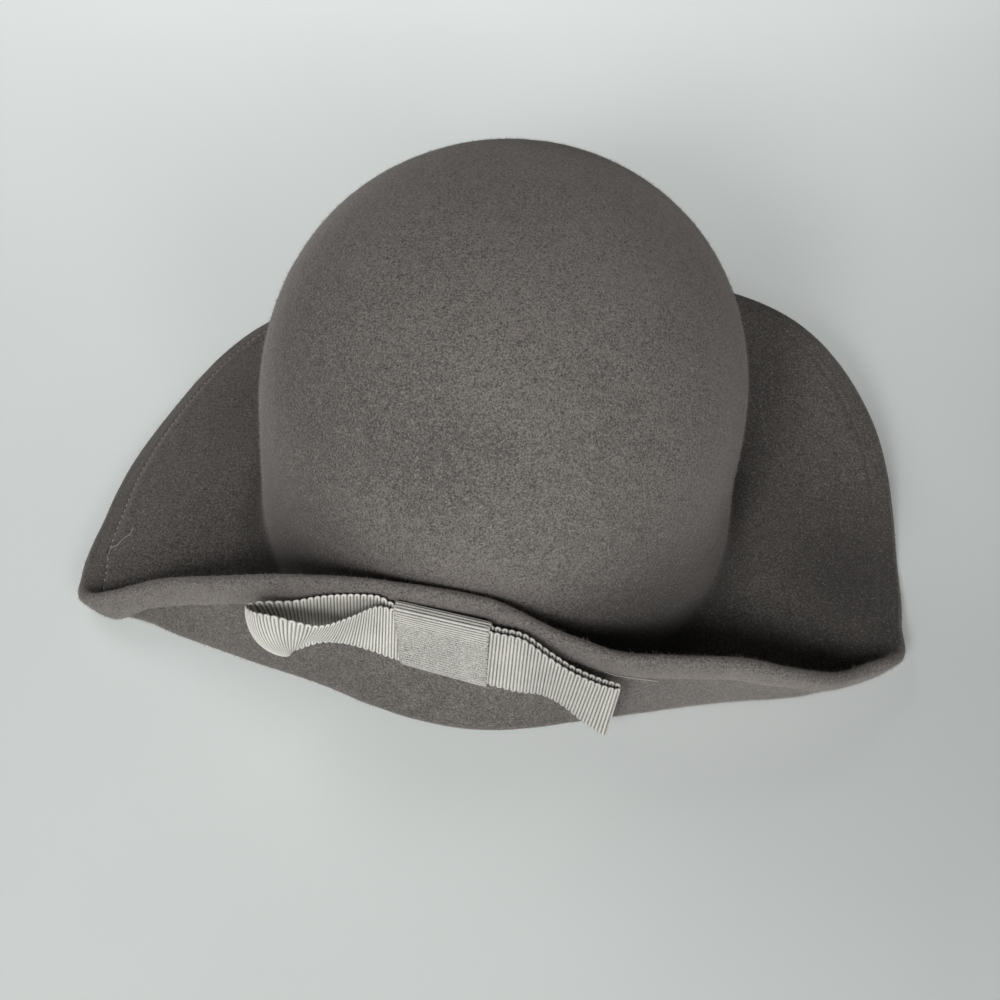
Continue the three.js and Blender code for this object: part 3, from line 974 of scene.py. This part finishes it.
def ribTree():  # presses ribs into a ribbon and draws its edges out into small loops
    sizes = {"Rib Pitch": "Float", "Rib Depth": "Float", "Scallop": "Float"}
    inputs = {**sizes, "Material": "Material"}
    graph, entry = newTree("ribs", inputs)
    along, across = named(graph, "along"), named(graph, "across")
    facing = named(graph, "facing", "FLOAT_VECTOR")
    sideways = named(graph, "sideways", "FLOAT_VECTOR")
    phase = along / entry["Rib Pitch"] * math.pi
    ridge = phase.sine().size() ** ribbon["ribPower"]
    loop = (phase * 0.5).sine().size() ** ribbon["scallopPower"]
    flat = named(graph, "wear")
    atEdge = ((across.size() - ribbon["edge"]) * ribbon["edgeSteep"]).clamped()
    outer = ((across.size() - ribbon["drawn"]) * ribbon["drawnSteep"]).clamped()
    rib = ridge * (1.0 - atEdge) + loop * atEdge
    sink = (rib - 1.0) * (1.0 - flat * ribbon["wornDepth"]) * entry["Rib Depth"]
    # the stored tone is painted shade in the grooves and painted highlight on the ribs, less so
    # where worn flat, times the painted light and shade of each part of the bow
    tone = rib * (1.0 - flat * ribbon["wornTone"]) + flat * ribbon["wornMiddle"]
    tone = tone * named(graph, "shade")
    draw = (loop - 1.0) * entry["Scallop"] * outer
    move = summed(graph, scaled(graph, facing, sink), scaled(graph, sideways, draw))
    kept = graph.add(
        "GeometryNodeStoreNamedAttribute",
        {"data_type": "FLOAT", "domain": "POINT"},
        {"Geometry": entry["Geometry"], "Name": "rib", "Value": tone},
    )
    moved = graph.add("GeometryNodeSetPosition", {}, {"Geometry": kept, "Offset": move})
    endTree(graph, moved, entry["Material"])
    return graph


ribs = ribTree()


# A closed strip: loops of points at stations along it, from one edge over the outer face to the
# other edge and back on the inner face. Each point knows where it is on the ribbon.
def stripPiece(
    name, middle, across, face, halfWidth, cup, wear, shade, thickness, along, pitch, columns
):
    shares = np.linspace(1, -1, columns)
    shares = np.sign(shares) * (1 - (1 - np.abs(shares)) ** ribbon["crowding"])
    stations = len(middle)
    loops, sides, facings = [], [], []
    for side in (1, -1):
        line = shares if side > 0 else shares[::-1]
        thin = 1 - ribbon["thinner"] * np.abs(line) ** ribbon["thinnerPower"]
        wide = middle[:, None] + across[:, None] * (line[None, :] * halfWidth[:, None])[..., None]
        wide -= face[:, None] * (cup[:, None] * (1 - line[None, :] ** 2))[..., None]
        loops.append(wide + side * face[:, None] * (thickness / 2 * thin)[None, :, None])
        sides.append(np.tile(line, (stations, 1)))
        facings.append(np.repeat(side * face[:, None], columns, 1))
    points = np.concatenate(loops, 1)
    acrossShare = np.concatenate(sides, 1)
    facing = np.concatenate(facings, 1)
    sideways = across[:, None] * np.sign(acrossShare)[..., None]
    rows = points.shape[1]
    here = np.arange(stations)
    ahead = (here + 1) % stations
    k = np.arange(rows)
    corners = [
        here[:, None] * rows + k,
        ahead[:, None] * rows + k,
        ahead[:, None] * rows + (k + 1) % rows,
        here[:, None] * rows + (k + 1) % rows,
    ]
    faces = np.stack(corners, -1).reshape(-1, 4).tolist()
    piece = newPiece(name, toFrame(points.reshape(-1, 3)), faces, None)
    mesh = piece.data
    setAttribute(mesh, "along", "FLOAT", np.repeat(along * mm, rows))
    setAttribute(mesh, "across", "FLOAT", acrossShare)
    setAttribute(mesh, "wear", "FLOAT", np.repeat(wear, rows))
    setAttribute(mesh, "shade", "FLOAT", np.repeat(shade, rows))
    setAttribute(mesh, "facing", "FLOAT_VECTOR", facing)
    setAttribute(mesh, "sideways", "FLOAT_VECTOR", sideways)
    values = {
        "Rib Pitch": pitch * mm,
        "Rib Depth": ribbon["ribDepth"] * mm,
        "Scallop": ribbon["scallop"] * mm,
        "Material": ribbonCloth,
    }
    return runTree(piece, ribs, values)


# How long a closed line is, how far along it each point lies, and the rib pitch that lets a whole
# number of rib pairs go round it
def ribsRound(line):
    steps = np.linalg.norm(np.roll(line, -1, 0) - line, axis=1)
    length = steps.sum()
    pairs = round(length / (2 * ribbon["ribPitch"]))
    return length, np.concatenate([[0], np.cumsum(steps)]), length / (2 * pairs), 2 * pairs


def faceAlong(middle, across):  # which way the outer face looks at each station
    return unit(np.cross(np.roll(middle, -1, 0) - np.roll(middle, 1, 0), across))


def makeLoops():
    rows = np.array(ribbonRows, float)
    places = inBow(rows[:, 0], rows[:, 1], rows[:, 2])
    dense = np.arange(ribbon["lineSteps"]) / ribbon["lineSteps"]
    length, gone, pitch, count = ribsRound(throughRows(places, dense))
    stations = count * bow["stations"]
    wanted = np.arange(stations) / stations * length
    share = np.interp(wanted, gone, np.append(dense, 1.0))
    middle = throughRows(places, share)
    lean, slant = np.radians(throughRows(rows[:, 3:5], share)).T
    cup, press = throughRows(rows[:, 5:], share).T
    across = (
        (np.cos(lean) * np.cos(slant))[:, None] * upAxis
        + np.sin(lean)[:, None] * outAxis
        - (np.cos(lean) * np.sin(slant))[:, None] * alongAxis
    )
    face = faceAlong(middle, across)
    middle = middle - across * press[:, None] / 2
    along, out = throughRows(rows[:, :2], share).T
    atRight = ramp(along, -10, 20)
    atBack, inFront = ramp(out, 1, -2) * (1 - atRight), ramp(out, -1, 3) * (1 - atRight)
    # painted shade on the right loop and painted light on the left loop's far layer
    shade = bow["tone"] + bow["paintedShadeRight"] * atRight + bow["paintedLightBack"] * atBack
    crowd = 1 + bow["crowdFront"] * inFront + bow["crowdRight"] * ramp(along, 30, 45)
    counted = np.append(0, np.cumsum(crowd)[:-1]) * length / crowd.sum()
    piece = stripPiece(
        "bow_ribbon", middle, across, face, (ribbon["width"] - press) / 2, cup, 0 * cup, shade,
        ribbon["thickness"], counted, pitch, bow["columns"],
    )
    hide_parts("bow_loops")
    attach(piece, "root")
    return piece, length


bowRibbon, ringLength = makeLoops()
print("bow ribbon made:", round(ringLength), "mm round,", len(bowRibbon.data.polygons), "faces")


def makeKnot():
    inner = ribbonRows[0][1] + ribbon["thickness"] / 2 + knot["clearance"]
    depth = inner + knot["thickness"] / 2
    height = ribbon["width"] / 2 + knot["clearance"] + knot["thickness"] / 2
    turns = np.arange(ribbon["lineSteps"]) / ribbon["lineSteps"] * 2 * math.pi
    power = 2 / knot["squareness"]
    out = depth * np.sign(np.cos(turns)) * np.abs(np.cos(turns)) ** power
    up = height * np.sign(np.sin(turns)) * np.abs(np.sin(turns)) ** power
    line = np.stack([out, up], 1)
    length, gone, pitch, count = ribsRound(line)
    stations = count * knot["stations"]
    wanted = np.arange(stations) / stations * length
    closed = np.vstack([line, line[:1]])
    out, up = (np.interp(wanted, gone, closed[:, k]) for k in (0, 1))
    share = np.clip(up / (ribbon["width"] / 2 + knot["clearance"]), -1, 1)
    skew = math.tan(math.radians(knot["skew"]))
    press = np.maximum(share, 0)
    fall = (knot["pressLeft"] + knot["pressRight"]) / 2 * press
    tip = (knot["pressLeft"] - knot["pressRight"]) / knot["length"] * press
    middle = inBow(-up * skew, out, up - fall)
    across = alongAxis * (1 + knot["flare"] * share)[:, None] + upAxis * tip[:, None]
    halfWidth = np.full(stations, knot["length"] / 2)
    wear = 1 - ramp(share, *knot["ribsAbove"])
    piece = stripPiece(
        "bow_knot_band", middle, across, faceAlong(middle, across), halfWidth, 0 * wear, wear,
        0 * wear + knot["tone"], knot["thickness"], wanted, pitch, knot["columns"],
    )
    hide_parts("bow_knot")
    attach(piece, "root")
    return piece


bowKnot = makeKnot()
print("bow knot made:", len(bowKnot.data.polygons), "faces")


# Hem stitches, and three loose ends of their thread
stitch = {
    "pitch": 3.3,
    "length": 1.9,
    "lengths": (0.75, 1.15),  # shares of it, at random
    "thick": 0.55,
    "strand": 0.28,  # a loose end's radius, as a share of that
    "lift": 0.1,
    "sunkUpper": 0.58,
    "sunkUnder": 0.55,
    "seed": 4,
}


def stitchTree():
    sizes = {"Pitch": "Float", "Length": "Float", "Thickness": "Float"}
    inputs = {**sizes, "Seed": "Int", "Material": "Material"}
    graph, entry = newTree("stitches", inputs)
    loose = graph.add(
        "GeometryNodeSeparateGeometry",
        {},
        {0: entry["Geometry"], 1: named(graph, "loose", "BOOLEAN")},
    )
    hemLine = loose.other(1)
    ring = graph.add(
        "GeometryNodeCurvePrimitiveCircle",
        {},
        {"Resolution": 6, "Radius": entry["Thickness"] * stitch["strand"]},
    )
    strand = graph.add("GeometryNodeMeshToCurve", {}, {0: loose})
    strand = graph.add(
        "GeometryNodeCurveToMesh", {}, {"Curve": strand, "Profile Curve": ring, "Fill Caps": True}
    )
    curve = graph.add("GeometryNodeMeshToCurve", {}, {0: hemLine})
    spaced = graph.add(
        "GeometryNodeResampleCurve", {"mode": "LENGTH"}, {"Curve": curve, "Length": entry["Pitch"]}
    )
    bead = graph.add("GeometryNodeMeshUVSphere", {}, {"Segments": 8, "Rings": 6, "Radius": 0.5})
    smooth = graph.add("GeometryNodeSetShadeSmooth", {}, {0: bead})
    tangent = graph.add("GeometryNodeInputTangent")
    facing = named(graph, "facing", "FLOAT_VECTOR")
    along = graph.add("FunctionNodeAlignRotationToVector", {"axis": "X"}, {"Vector": tangent})
    upright = graph.add(
        "FunctionNodeAlignRotationToVector",
        {"axis": "Z", "pivot_axis": "X"},
        {"Rotation": along, "Vector": facing},
    )
    length = entry["Length"] * randomShare(graph, *stitch["lengths"], entry["Seed"])
    sides = (length, entry["Thickness"], entry["Thickness"])
    placed = placeOn(graph, spaced, smooth, upright, sides)
    both = graph.add("GeometryNodeJoinGeometry", {}, {0: [placed, strand]})
    endTree(graph, both, entry["Material"])
    return graph


stitches = stitchTree()


def rowAt(face, distance):  # the line on a face that lies a given way in from the brim's edge
    hemPart = slice(feltMesh["crownRows"] + feltMesh["brimRows"] - 4, middles.shape[1])
    inward = fromEdge[:, hemPart][:, ::-1]
    made = np.empty((len(azimuths), 3))
    facing = np.empty((len(azimuths), 3))
    for i, here in enumerate(distance):
        for axis in range(3):
            made[i, axis] = np.interp(here, inward[i], face[i, hemPart, axis][::-1])
            facing[i, axis] = np.interp(here, inward[i], normals[i, hemPart, axis][::-1])
    return made, unit(facing)


# Loose ends of the hem's thread: azimuth, distance in from the edge, height above the felt
upperThreads = [
    [
        [-164.3, 8.6, 0.1], [-165, 9, 0.5], [-165.9, 9.6, 0.7], [-166.1, 11.4, 0.6],
        [-166.7, 12.4, 0.9], [-167.4, 13.4, 1], [-167.8, 15.2, 1.3], [-168.9, 15.6, 1.5],
    ],
]
underThreads = [
    [
        [-68, 9.4, 0.2], [-66.8, 9.3, 0.5], [-65.5, 9.7, 0.6],
        [-63.5, 10.7, 0.6], [-61, 11.5, 0.9], [-59, 12.4, 1.1],
    ],
    [
        [-160, 11.2, 0.3], [-159, 12, 0.5], [-158, 12.4, 0.6],
        [-157, 13.4, 0.5], [-156, 13.6, 0.6], [-155, 14.4, 0.3],
    ],
]


def onFelt(face, azimuth, distance):  # a point of a face and its normal
    brimPart = slice(feltMesh["crownRows"] + 1, middles.shape[1])
    place = np.interp(azimuth, azimuths, np.arange(len(azimuths)))
    first, share = int(place), place % 1
    found = []
    for row in (first, (first + 1) % len(azimuths)):
        inward = fromEdge[row, brimPart][::-1]
        lines = np.concatenate([face[row, brimPart], normals[row, brimPart]], 1)[::-1]
        found.append([np.interp(distance, inward, lines[:, k]) for k in range(6)])
    mixed = (1 - share) * np.array(found[0]) + share * np.array(found[1])
    return mixed[:3], unit(mixed[3:])


def smoothPath(points, parts=5):  # an open smooth curve through the points
    rows = np.vstack([2 * points[0] - points[1], points, 2 * points[-1] - points[-2]])
    steps = 1 + np.arange((len(points) - 1) * parts + 1) / parts
    return throughRows(rows, steps / len(rows))


def makeStitches(name, face, distance, side, sunk, threads):
    line, facing = rowAt(face, distance)
    points = line + side * facing * (stitch["thick"] / 2 - sunk)[:, None]
    count = len(points)
    edges = [(i, (i + 1) % count) for i in range(count)]
    facing = side * facing
    for thread in threads:
        places = [onFelt(face, azimuth, inward) for azimuth, inward, _ in thread]
        heights = [row[2] + stitch["lift"] for row in thread]
        lifted = [p + side * n * height for (p, n), height in zip(places, heights)]
        path = smoothPath(np.array(lifted))
        edges += [(len(points) + i, len(points) + i + 1) for i in range(len(path) - 1)]
        points = np.vstack([points, path])
        facing = np.vstack([facing, np.tile([0, 0, 1], (len(path), 1))])
    piece = newPiece(name, toFrame(points), [], None, edges)
    setAttribute(piece.data, "facing", "FLOAT_VECTOR", facing)
    setAttribute(piece.data, "loose", "BOOLEAN", np.arange(len(points)) >= count)
    values = {
        "Pitch": stitch["pitch"] * mm,
        "Length": stitch["length"] * mm,
        "Thickness": stitch["thick"] * mm,
        "Seed": stitch["seed"],
        "Material": stitchThread,
    }
    runTree(piece, stitches, values)
    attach(piece, "root")
    return piece


# the stitches stand out along the left side and sink into the nap elsewhere
atLeft = leftShare(azimuths) * (1 - frontShare(azimuths - 4))
upperLine = np.full(len(azimuths), sheet["stitchIn"])
upperSunk = stitch["sunkUpper"] * (1 - atLeft)
upperStitches = makeStitches(
    "hem_stitches_upper", upperFace, upperLine, 1, upperSunk, upperThreads
)
underLine = sheet["hemWidth"] + sheet["ledge"] + hemWider(azimuths)
underSunk = np.full(len(azimuths), stitch["sunkUnder"])
underStitches = makeStitches(
    "hem_stitches_under", underFace, underLine, -1, underSunk, underThreads
)
for hemStitches in (upperStitches, underStitches):
    print(hemStitches.name, "made:", len(hemStitches.data.polygons), "faces")


# Table, lights and camera
stage = {
    "size": 6.0,
    "tone": (0.62, 0.65, 0.635),
    "patch": (0.5, 0.52, 0.51),
    "patchShare": 0.1,
    "patches": 9.0,  # noise steps to a metre
    "glow": 0.215,  # painted light: the backdrop glows by itself where the hat stands, in place of the lamps' light on it
    "glowTone": (0.98, 1.02, 1.0),
    "glowBehind": 0.42,  # how it changes over a metre to the back and to the right,
    "glowRight": -0.3,
    "glowFar": 0.55,  # and over that distance squared
    "glowAside": -1.05,
    "glowPatches": 0.04,
    "glowLimits": (0.08, 0.55),
    "worldTone": (0.93, 0.97, 0.95),
    "world": 0.03,
}


def makeFloor():
    half = stage["size"] / 2
    corners = [(-half, -half, 0), (half, -half, 0), (half, half, 0), (-half, half, 0)]
    floor = newPiece("table_top", corners, [(0, 1, 2, 3)], None)
    material, graph = newLook("table_pale")
    place = graph.place()
    cloud = graph.noise(place, stage["patches"], 2.0, 0.5)
    across = graph.add("ShaderNodeSeparateXYZ", {}, {0: place})
    behind = across.other(1)
    # painted light on the table: its glow changes over the table in place of the lamps' light
    glow = behind * stage["glowBehind"] + across * stage["glowRight"] + stage["glow"]
    glow = glow + behind * behind * stage["glowFar"] + across * across * stage["glowAside"]
    glow = glow + (cloud - 0.5) * stage["glowPatches"]
    least, most = stage["glowLimits"]
    share = ((glow - least) / (most - least)).clamped()
    ends = [tuple(amount * v for v in stage["glowTone"]) for amount in (least, most)]
    shader = {"Roughness": 0.75, "Emission Strength": 1.0}
    shader["Emission Color"] = graph.mix(share, *ends)
    tone = graph.mix(cloud * stage["patchShare"], stage["tone"], stage["patch"])
    finishLook(graph, tone, shader)
    floor.data.materials.append(material)


makeFloor()

lights = {  # azimuth, elevation, distance, size, power
    "key": (-10, 22, 2.4, 1.7, 24),
    "high": (-16, 31, 2.4, 0.5, 19),
    "side": (20, 25, 2.4, 0.7, 14),
    "back": (-120, 45, 2.4, 1.7, 12),
    "far": (60, 50, 2.4, 1.0, 1),
}


def makeLight(name, azimuth, elevation, distance, size, power):
    a, e = math.radians(azimuth), math.radians(elevation)
    back = Vector((math.sin(a) * math.cos(e), -math.cos(a) * math.cos(e), math.sin(e)))
    lamp = bpy.data.lights.new(name, "AREA")
    lamp.shape = "DISK"
    lamp.size = size
    lamp.energy = power
    light = bpy.data.objects.new(name, lamp)
    light.location = back * distance
    light.rotation_mode = "QUATERNION"
    light.rotation_quaternion = (-back).to_track_quat("-Z", "Y")
    bpy.context.scene.collection.objects.link(light)


for lightName, settings in lights.items():
    makeLight(lightName, *settings)

world = bpy.data.worlds.new("studio")
world.use_nodes = True
background = world.node_tree.nodes["Background"]
background.inputs["Color"].default_value = (*stage["worldTone"], 1)
background.inputs["Strength"].default_value = stage["world"]
bpy.context.scene.world = world

camera = {
    "lens": 72,
    "sensor": 36,
    "distance": 781.25,
    "elevation": 43,
    "roll": 4.5,
    "aim": (0, 0, 16),  # over the middle of the crown's neck
    "aimPixel": (496.5, 502),
    "picture": 1000,
}


def makeCamera():
    tip = math.radians(camera["elevation"])
    roll = math.radians(camera["roll"])
    back = np.array([0, -math.cos(tip), math.sin(tip)])
    right = np.array([1.0, 0, 0])
    up = np.cross(back, right)
    across = right * math.cos(roll) + up * math.sin(roll)
    above = up * math.cos(roll) - right * math.sin(roll)
    focal = camera["lens"] / camera["sensor"] * camera["picture"]
    offX = (camera["aimPixel"][0] - camera["picture"] / 2) / focal
    offY = -(camera["aimPixel"][1] - camera["picture"] / 2) / focal
    place = np.array(camera["aim"]) - camera["distance"] * (-back + offX * across + offY * above)
    lens = bpy.data.cameras.new("camera")
    lens.lens = camera["lens"]
    lens.sensor_width = camera["sensor"]
    lens.clip_start = 0.01
    shot = bpy.data.objects.new("camera", lens)
    bpy.context.scene.collection.objects.link(shot)
    turned = Matrix([across, above, back]).transposed().to_4x4()
    shot.matrix_world = Matrix.Translation(Vector(toFrame(place))) @ turned
    bpy.context.scene.camera = shot


makeCamera()
bpy.context.scene.view_settings.view_transform = "Standard"
bpy.context.scene.view_settings.look = "None"
print("stage made")
